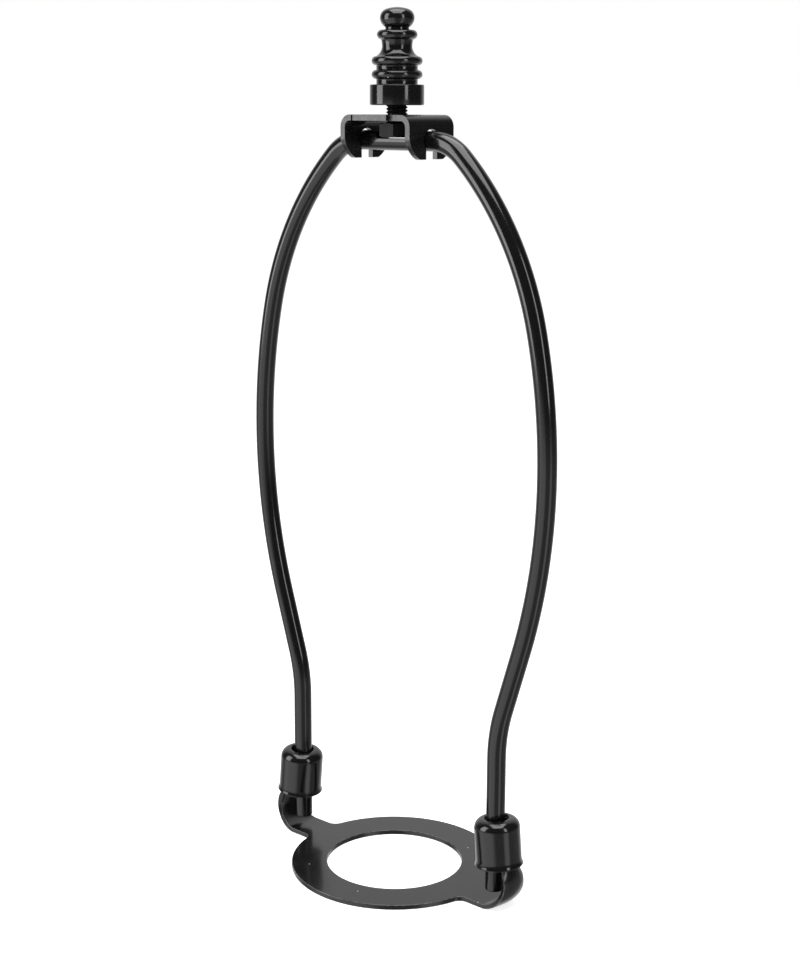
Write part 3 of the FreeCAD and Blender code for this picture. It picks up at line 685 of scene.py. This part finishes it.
class HARP_OT_bracket(bpy.types.Operator):
    """Folds the bracket and cuts its keyholes, teeth, notches and nicks"""
    bl_idname = "harp.bracket"
    bl_label = "Bracket"

    def execute(self, context):
        s = setting("bracket")
        (long, wide, top), tip = BRACKET_HIGH, BRACKET_LOW.z
        under, inner = top - s.sheet, long - s.sheet
        bend_foot, inner_bend = top - s.bend, s.bend - s.sheet
        piece = Outline("bracket", long, tip).path(
            (long, bend_foot), (long - s.bend, top, s.bend, 10),
            (s.bend - long, top), (-long, bend_foot, s.bend, 10), (-long, tip), (-inner, tip),
            (-inner, bend_foot), (s.bend - long, under, -inner_bend, 8),
            (long - s.bend, under), (inner, bend_foot, -inner_bend, 8), (inner, tip), (long, tip),
        ).slab(-wide, wide)

        # keyholes and mouths through both legs, then the round outer sides of the teeth
        past, over = 20.0 * MM, 2.0 * MM
        centre = top - setting("wire").drop + s.play
        cut(piece, round_cutter(s.keyhole / 2, 2 * past, (0, 0, centre), 56, math.pi / 2))
        cut(piece, box_cutter((-past, -s.mouth / 2, tip - over), (past, s.mouth / 2, centre)))
        tooth, skirt = s.mouth / 2 + s.tooth, top - s.skirt
        for side in (-1, 1):
            wedge = Outline("cutter", wide, skirt).path(
                (tooth, tip, -s.corner, 12), (tooth, tip - over), (wide + over, tip - over),
                (wide + over, skirt), (wide, skirt)).slab(-past, past)
            turn_about((0, 0, 0), "Z", side * math.pi / 2)
            cut(piece, wedge)
        cut(piece, round_cutter(s.stud / 2 + s.play, 6.0 * MM, (0, 0, top), 64))
        for side in (-1, 1):
            for place, width in ((-s.notch_place, s.notch), (s.nick_place, s.nick)):
                middle = place * side
                near, far = sorted((side * (wide - s.mark_depth), side * (wide + over)))
                cut(piece, box_cutter((middle - width / 2, near, top - 3.0 * MM),
                                      (middle + width / 2, far, top + over)))
        clean_cuts(piece, 0.06 * MM)
        break_edges(piece, s.edge, 40.0)
        smooth(piece, 40.0, weighted=True)
        coat_with(piece, "bracket_enamel")
        # the cut sides of the sheet, but not the walls of keyhole and mouth; their finish holds
        # thin paint and a painted sheen
        past_mouth = 4.0 * MM
        coat_faces(piece, "cut_edge_wear_and_sheen_enamel", lambda face: abs(face.normal.y) > 0.9
                   and abs(face.calc_center_median().y) > past_mouth)
        hand_over(piece, "top_bracket", "bow")
        return {"FINISHED"}


class HARP_OT_stud(bpy.types.Operator):
    """Cuts the swivel stud: a chamfered hexagon head and a fine thread"""
    bl_idname = "harp.stud"
    bl_label = "Swivel Stud"

    def execute(self, context):
        s = setting("bracket")
        low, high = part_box("swivel_stud")
        foot, tip = low.z, high.z
        seat = foot + s.head_height
        corner = s.head / math.sqrt(3)

        deselect_all()
        bpy.ops.mesh.primitive_cylinder_add(
            vertices=6, radius=corner, depth=s.head_height,
            location=(0, 0, foot + s.head_height / 2), rotation=(0, 0, math.radians(30)))
        head = take_primitive("threaded_stud")
        # the chamfer of the six corners; its cutter reaches past both ends of the head
        past, chamfer = 0.3 * MM, 0.45 * MM
        narrow, wide = s.head * 0.49 - 0.6 * MM, corner * 1.02
        rounding = Outline("cutter", 0.0, foot - past).path(
            (narrow, foot - past), (wide, foot + chamfer), (wide, seat - chamfer),
            (narrow, seat + past), (0.0, seat + past)).lathe(64)
        cut(head, rounding, "INTERSECT")

        # one turn of the thread, repeated as a screw and cut off level
        sunk, spare = 0.3 * MM, 0.2 * MM
        major, minor = s.stud / 2, s.stud / 2 - s.pitch * 0.54
        start = seat - 2.5 * s.pitch
        thread = Outline("thread", major, start).path(
            (minor, start + s.pitch * 0.44), (minor, start + s.pitch * 0.56),
            (major, start + s.pitch)).piece
        modify(thread, "SCREW", axis="Z", angle=2 * math.pi, screw_offset=s.pitch,
               iterations=int((tip - seat) / s.pitch) + 5, steps=48, render_steps=48,
               use_merge_vertices=True, merge_threshold=1e-6)
        edit(thread)
        for height, keep_above in ((seat - sunk, True), (tip + spare, False)):
            bpy.ops.mesh.select_all(action="SELECT")
            bpy.ops.mesh.bisect(plane_co=(0, 0, height), plane_no=(0, 0, 1), use_fill=True,
                                clear_inner=keep_above, clear_outer=not keep_above)
        seal(thread)
        lead = Outline("cutter", 0.0, foot + 1.0 * MM).path(
            (major * 1.05, foot + 1.0 * MM), (major * 1.05, tip - 0.95 * MM),
            (major - 0.8 * MM, tip), (0.0, tip)).lathe(64)
        cut(thread, lead, "INTERSECT")
        join(head, thread)
        smooth(head, 25.0)
        coat_with(head, "stud_enamel")
        hand_over(head, "swivel_stud", "stud")
        return {"FINISHED"}


class HARP_OT_finial(bpy.types.Operator):
    """Turns the finial: base, rings, bell, collar and ball over a tapped hole"""
    bl_idname = "harp.finial"
    bl_label = "Finial"

    def execute(self, context):
        s = setting("finial")
        base, ring, waist, collar, neck, ball, bore = (
            width / 2 for width in (s.base, s.ring, s.waist, s.collar, s.neck, s.ball, s.bore))
        foot = FINIAL_FOOT
        # heights above the foot, in millimetres
        (base_top, lower, lower_top, upper, upper_top, collar_foot, collar_top, neck_top, equator,
         crown) = (foot + value * MM for value in (
             5.7, 7.2, 9.7, 10.95, 13.45, 18.05, 20.65, 21.35, 23.95, 26.85))
        soft, hollow, lead = 0.35 * MM, 0.25 * MM, 0.7 * MM
        nose, collar_nose = (lower_top - lower) / 2, (collar_top - collar_foot) / 2
        # the ball: a low arc up to the equator, a tight edge and a flat cap that meet smoothly
        edge, overhang = 2.5 * MM, ball - neck
        under_edge = (overhang ** 2 + (equator - neck_top) ** 2) / (2 * overhang)
        rise, inside = crown - equator, ball - edge
        cap = (inside ** 2 + rise ** 2 - edge ** 2) / (2 * (rise - edge))
        joint_x = cap * inside / (cap - edge)
        joint_z = crown - cap + cap * (cap - rise) / (cap - edge)

        def waist_between(low, high):
            return ((waist + hollow, low), (waist, low + hollow, -hollow, 4),
                    (waist, high - hollow), (waist + hollow, high, -hollow, 4))

        def ring_between(low, high):
            return ((ring - nose, low), (ring, low + nose, nose, 10),
                    (ring - nose, high, nose, 10))

        # the bell's radius half way up and under the collar, and its two hollow bends
        bell, bell_top, bell_bend, throat_bend = 4.25 * MM, 4.45 * MM, -3.4 * MM, -9.0 * MM
        piece = Outline("finial_turning", 0.0, foot + s.bore_depth + 0.5 * MM).path(
            (bore, foot + s.bore_depth), (bore, foot + lead), (bore + lead, foot),
            (base - soft, foot), (base, foot + soft, soft, 5),
            (base, base_top - soft), (base - soft, base_top, soft, 5),
            *waist_between(base_top, lower), *ring_between(lower, lower_top),
            *waist_between(lower_top, upper), *ring_between(upper, upper_top),
            (bell, upper_top + 2.6 * MM, bell_bend, 14),
            (bell_top, collar_foot - hollow, throat_bend, 6),
            (bell_top + hollow, collar_foot, -hollow, 4),
            (collar - collar_nose, collar_foot),
            (collar, collar_foot + collar_nose, collar_nose, 10),
            (collar - collar_nose, collar_top, collar_nose, 10),
            (neck, collar_top), (neck, neck_top),
            (ball, equator, under_edge, 10), (joint_x, joint_z, edge, 12), (0.0, crown, cap, 14),
        ).lathe(s.steps)
        smooth(piece, 32.0)
        coat_with(piece, "finial_enamel")
        hand_over(piece, "finial", "finial")
        return {"FINISHED"}


class HARP_OT_ferrules(bpy.types.Operator):
    """Draws the sleeve of a ferrule, leans it and makes its twin"""
    bl_idname = "harp.ferrules"
    bl_label = "Ferrules"

    def execute(self, context):
        s = setting("ferrule")
        outer, hole, wall = s.outside / 2, s.hole / 2, s.wall
        foot, lip, soft = -s.length, s.outside / 2 + s.flare, 0.25 * MM
        flare = foot + 1.6 * MM
        first = Outline("ferrule", hole + soft, -wall).path(
            (outer - s.shoulder, -wall),
            (outer - wall, -s.shoulder, wall - s.shoulder, 10),
            (outer - wall, flare),
            (lip - wall + soft, foot + soft / 2), (lip - soft, foot, -soft * 2, 3),
            (lip, foot + soft, soft, 5), (outer, flare + 0.4 * MM, -5.0 * MM, 6),
            (outer, -s.shoulder), (outer - s.shoulder, 0.0, s.shoulder, 14),
            (hole + soft, 0.0), (hole, -soft, soft, 4),
            (hole, soft - wall), (hole + soft, -wall, soft, 4),
        ).lathe(96)
        smooth(first, 38.0)

        spacing = setting("wire").foot_spacing / 2 + s.shift
        take(first)
        bpy.ops.object.duplicate()
        second = bpy.context.object
        for piece, side, name in ((first, -1, "left_ferrule"), (second, 1, "right_ferrule")):
            take(piece)
            piece.name = piece.data.name = name + "_sleeve"
            piece.rotation_euler = (0.0, -side * s.lean, 0.0)
            piece.location = (side * spacing, 0.0, s.top)
            bpy.ops.object.transform_apply(location=True, rotation=True, scale=True)
            coat_with(piece, "ferrule_enamel")
            hand_over(piece, name, name)
        return {"FINISHED"}


class HARP_OT_saddle(bpy.types.Operator):
    """Cuts the saddle from sheet and draws its tabs up into hollow ears"""
    bl_idname = "harp.saddle"
    bl_label = "Saddle"

    def execute(self, context):
        s = setting("saddle")
        middle = s.sheet / 2
        rim, hole, tab = s.plate / 2, s.hole / 2, s.tab / 2
        corner = math.sqrt((rim + s.fillet) ** 2 - (tab + s.fillet) ** 2)
        touch = rim / (rim + s.fillet)

        # a quarter of the plate and tab, drawn flat in x and z and laid down
        quarter = Outline("saddle_sheet", 0.0, hole).path(
            (hole, 0.0, -hole, 24), (s.reach, 0.0),
            *((s.reach, tab * step / 4) for step in range(1, 5)),
            (corner, tab), (corner * touch, (tab + s.fillet) * touch, -s.fillet, 8),
            (0.0, rim, rim, 24), (0.0, hole))
        quarter.close()
        piece = quarter.piece
        bpy.ops.mesh.edge_face_add()
        turn_about((0, 0, 0), "X", -math.pi / 2)
        move(z=middle)
        mirror(piece, y=True)

        # the ear: rows pulled out of the tab's end, placed in the end view (x, z, turned up by)
        ferrule, wire = setting("ferrule"), setting("wire")
        foot_x = wire.foot_spacing / 2
        lip_z = ferrule.top - ferrule.length + 0.8 * MM
        lip_x = foot_x + ferrule.shift + (ferrule.top - lip_z) * math.tan(ferrule.lean)
        lip_x += ferrule.outside / 2 - ferrule.wall - s.play - middle
        cradle = wire.wire / 2 + s.play + middle
        lip, tip = Vector((lip_x, lip_z)), Vector((foot_x + cradle, s.ear_top))
        lean = math.atan2(lip.x - tip.x, tip.y - lip.y)
        upright = math.pi / 2 + lean
        bend_z = middle + s.ear_bend
        bend_x = lip.x + (lip.y - bend_z) * math.tan(lean) - s.ear_bend / math.cos(lean)

        def on_bend(turned):
            return Vector((bend_x + s.ear_bend * math.sin(turned),
                           bend_z - s.ear_bend * math.cos(turned)))

        # width and curve across the sheet at the tab, mid bend, knee, lip and tip
        widths = (s.tab, 10.0 * MM, 8.8 * MM, 7.2 * MM, 6.4 * MM)
        curves = (0.0, 1 / (15.0 * MM), 1 / (9.0 * MM), 1 / (5.0 * MM), 1 / cradle)
        straights = {2: (on_bend(upright), lip), 3: (lip, tip)}
        stations = [(on_bend(0.0), 0.0, s.tab, 0.0)]
        for stretch, steps in enumerate((6, 6, 3, 4)):
            for step in range(1, steps + 1):
                part = step / steps
                wide, curve = (values[stretch] + (values[stretch + 1] - values[stretch]) * part
                               for values in (widths, curves))
                if stretch in straights:
                    low, high = straights[stretch]
                    place, turned = low.lerp(high, part), upright
                else:
                    turned = (stretch + part) / 2 * upright
                    place = on_bend(turned)
                stations.append((place, turned, wide, curve))

        edit(piece)
        pick(piece, lambda vertex: abs(vertex.co.x - s.reach) < 1e-6
             and abs(vertex.co.y) < tab + 1e-6)
        flat_x, last, wide_now = s.reach, Vector((s.reach, middle)), s.tab
        rows = []
        for place, turned, wide, curve in stations:
            step = (place - last).length
            extrude(x=step)
            scale_about((0, 0, 0), y=wide / wide_now)
            flat_x, last, wide_now = flat_x + step, place, wide
            rows.append((place, turned, curve, flat_x, picked_numbers(piece)))
        for place, turned, curve, flat_x, row in rows:
            if curve > 0:
                # pairs of vertices from the edges inwards, both pulled up onto the curve
                for (_, left), (y, right) in zip(row[:4], row[:4:-1]):
                    arc = y * curve
                    pick_numbers(piece, (left, right))
                    move(z=(1 - math.cos(arc)) / curve)
                    scale_about((0, 0, 0), y=math.sin(arc) / arc)
            pick_numbers(piece, [number for _, number in row])
            turn_about((flat_x, 0, middle), "Y", -turned)
            move(x=place.x - flat_x, z=place.y - middle)
        # the tip's two corners, a little lower than its middle
        pick_numbers(piece, (row[0][1], row[-1][1]))
        move(x=0.35 * MM * math.sin(lean), z=-0.9 * MM)

        mirror(piece, x=True)
        seal(piece)
        modify(piece, "SOLIDIFY", thickness=s.sheet, offset=0.0, use_even_offset=True)
        seal(piece)
        break_edges(piece, s.edge, 50.0)
        smooth(piece, 40.0, weighted=True)
        coat_with(piece, "saddle_enamel")
        # the rounded upper rims get a painted highlight beside their thin paint and chips: narrow
        # faces, none of them on the underside
        narrow, lowest = 0.13 * MM, 0.9 * MM
        coat_faces(piece, "rim_chips_and_highlight_enamel", lambda face: face.calc_center_median().z > lowest
                   and min(edge.calc_length() for edge in face.edges) < narrow)
        hand_over(piece, "saddle", "saddle")
        return {"FINISHED"}


class HARP_OT_stage(bpy.types.Operator):
    """Sets the camera, the softboxes and the white floor"""
    bl_idname = "harp.stage"
    bl_label = "Stage"

    def execute(self, context):
        s = setting("stage")
        scene = context.scene
        view = bpy.data.cameras.new("camera")
        longer_side = 959.0
        view.sensor_width = 36.0
        view.lens = s.focal_pixels * view.sensor_width / longer_side
        view.clip_start, view.clip_end = 0.01, 50.0
        camera = bpy.data.objects.new("camera", view)
        scene.collection.objects.link(camera)
        # the camera's axes in the world, as fitted to the photograph
        right = Vector((0.742475, 0.669862, 0.003865))
        down = Vector((0.147796, -0.158185, -0.976286))
        ahead = Vector((-0.653365, 0.725439, -0.216451))
        turned = Matrix((right, -down, -ahead)).transposed()
        camera.matrix_world = Matrix.Translation(s.camera_place) @ turned.to_4x4()
        scene.camera = camera

        finial, overhead = (0, 0, 0.3), (0.1, -0.11, 0.0)
        for name, place, aim, size, watts, spin in (
                ("left_softbox", (-0.55, -0.75, 0.46), finial, (0.5, 0.9), s.key_power, 0.0),
                ("right_softbox", (0.95, -0.12, 0.5), finial, (0.2, 0.7), s.fill_power, 0.0),
                ("top_softbox", (0.1, -0.11, 1.05), overhead, (0.8, 1.0), s.top_power, 42.0)):
            lamp = bpy.data.lights.new(name, "AREA")
            lamp.shape = "RECTANGLE"
            lamp.size, lamp.size_y = size
            lamp.energy = watts
            softbox = bpy.data.objects.new(name, lamp)
            scene.collection.objects.link(softbox)
            softbox.location = place
            aimed = (Vector(aim) - Vector(place)).to_track_quat("-Z", "Y").to_euler()
            aimed.z += math.radians(spin)
            softbox.rotation_euler = aimed

        # the floor lights itself for the camera, and reflections look through it at the world
        deselect_all()
        bpy.ops.mesh.primitive_plane_add(size=6.0, location=(0, 0, 0))
        floor = context.object
        floor.name = "floor"
        paper = bpy.data.materials.new("floor_paper")
        tree = empty_tree(paper)
        white = (1.0, 1.0, 1.0, 1.0)
        ray = node(tree, "ShaderNodeLightPath").outputs
        matt = node(tree, "ShaderNodeBsdfDiffuse", {"Color": (0.82, 0.82, 0.82, 1.0)})
        clear = node(tree, "ShaderNodeBsdfTransparent")
        glow = node(tree, "ShaderNodeEmission", {"Color": white, "Strength": 0.74})
        lit = node(tree, "ShaderNodeAddShader", {0: matt.outputs[0], 1: glow.outputs[0]})
        unseen = node(tree, "ShaderNodeMixShader", {
            0: ray["Is Glossy Ray"], 1: matt.outputs[0], 2: clear.outputs[0]})
        surface = node(tree, "ShaderNodeMixShader", {
            0: ray["Is Camera Ray"], 1: unseen.outputs[0], 2: lit.outputs[0]})
        node(tree, "ShaderNodeOutputMaterial", {"Surface": surface.outputs[0]})
        floor.data.materials.append(paper)

        # the world: white for the camera, soft for the light, and bright patches for the gloss
        world = bpy.data.worlds.new("studio")
        scene.world = world
        tree = empty_tree(world)
        ray = node(tree, "ShaderNodeLightPath").outputs
        place = node(tree, "ShaderNodeTexCoord").outputs["Generated"]
        level = node(tree, "ShaderNodeVectorMath", {0: place, 1: (1.0, 1.0, 0.0)},
                     operation="MULTIPLY").outputs["Vector"]
        bearing = node(tree, "ShaderNodeVectorMath", {0: level},
                       operation="NORMALIZE").outputs["Vector"]
        height = node(tree, "ShaderNodeSeparateXYZ", {0: place}).outputs["Z"]
        below = node(tree, "ShaderNodeMapRange", {
            "Value": height, "From Min": -0.04, "From Max": -0.2}).outputs["Result"]

        def patch(degrees, edge, full, strength):
            """A bright part of the surroundings, its middle at a bearing."""
            aim = (math.cos(math.radians(degrees)), math.sin(math.radians(degrees)), 0.0)
            facing = node(tree, "ShaderNodeVectorMath", {0: bearing, 1: aim},
                          operation="DOT_PRODUCT").outputs["Value"]
            return node(tree, "ShaderNodeMapRange", {
                "Value": facing, "From Min": math.cos(math.radians(edge)),
                "From Max": math.cos(math.radians(full)), "To Min": 0.0, "To Max": strength},
                interpolation_type="SMOOTHSTEP").outputs["Result"]

        paper_left = math_node(tree, "MULTIPLY", patch(-108.0, 50.0, 25.0, 0.75), below)
        paper_right = math_node(tree, "MULTIPLY", patch(-7.0, 16.0, 6.0, 0.8), below)
        table = math_node(tree, "MULTIPLY_ADD", below, 0.22, 0.04)
        total = patch(130.0, 66.0, 20.0, 0.6)
        for bright in (paper_left, paper_right, table):
            total = math_node(tree, "ADD", total, bright)

        def background(strength):
            return node(tree, "ShaderNodeBackground", {
                "Color": white, "Strength": strength}).outputs[0]

        seen = math_node(tree, "MAXIMUM", ray["Is Camera Ray"], ray["Is Transmission Ray"])
        unseen = node(tree, "ShaderNodeMixShader", {
            0: ray["Is Glossy Ray"], 1: background(0.4), 2: background(total)})
        surface = node(tree, "ShaderNodeMixShader", {
            0: seen, 1: unseen.outputs[0], 2: background(1.0)})
        node(tree, "ShaderNodeOutputWorld", {"Surface": surface.outputs[0]})
        scene.view_settings.view_transform = "Standard"
        return {"FINISHED"}


class HARP_PT_panel(bpy.types.Panel):
    """Sizes and pieces of the lamp harp"""
    bl_idname = "HARP_PT_panel"
    bl_label = "Lamp Harp"
    bl_space_type = "VIEW_3D"
    bl_region_type = "UI"
    bl_category = "Harp"

    def draw(self, context):
        layout = self.layout
        for title, name, settings, operators in PARTS:
            box = layout.box()
            box.label(text=title)
            group = getattr(context.scene, "harp_" + name)
            for key in settings.__annotations__:
                box.prop(group, key)
            for operator in operators:
                box.operator(operator)


PARTS = (
    ("Enamel", "enamel", HarpEnamelSettings, ("harp.finishes",)),
    ("Bow", "wire", HarpWireSettings, ("harp.wire",)),
    ("Bracket and stud", "bracket", HarpBracketSettings, ("harp.bracket", "harp.stud")),
    ("Finial", "finial", HarpFinialSettings, ("harp.finial",)),
    ("Ferrules", "ferrule", HarpFerruleSettings, ("harp.ferrules",)),
    ("Saddle", "saddle", HarpSaddleSettings, ("harp.saddle",)),
    ("Stage", "stage", HarpStageSettings, ("harp.stage",)),
)

CLASSES = (
    HarpEnamelSettings, HarpWireSettings, HarpBracketSettings, HarpFinialSettings,
    HarpFerruleSettings, HarpSaddleSettings, HarpStageSettings,
    HARP_OT_finishes, HARP_OT_wire, HARP_OT_bracket, HARP_OT_stud, HARP_OT_finial,
    HARP_OT_ferrules, HARP_OT_saddle, HARP_OT_stage, HARP_PT_panel,
)


def register():
    for item in CLASSES:
        bpy.utils.register_class(item)
    for title, name, settings, operators in PARTS:
        setattr(bpy.types.Scene, "harp_" + name, PointerProperty(type=settings))


def unregister():
    for title, name, settings, operators in PARTS:
        delattr(bpy.types.Scene, "harp_" + name)
    for item in reversed(CLASSES):
        bpy.utils.unregister_class(item)


def main():
    register()
    bpy.ops.harp.finishes()
    bpy.ops.harp.wire()
    bpy.ops.harp.bracket()
    bpy.ops.harp.stud()
    bpy.ops.harp.finial()
    bpy.ops.harp.ferrules()
    bpy.ops.harp.saddle()
    bpy.ops.harp.stage()
    deselect_all()


if __name__ == "__main__":
    main()
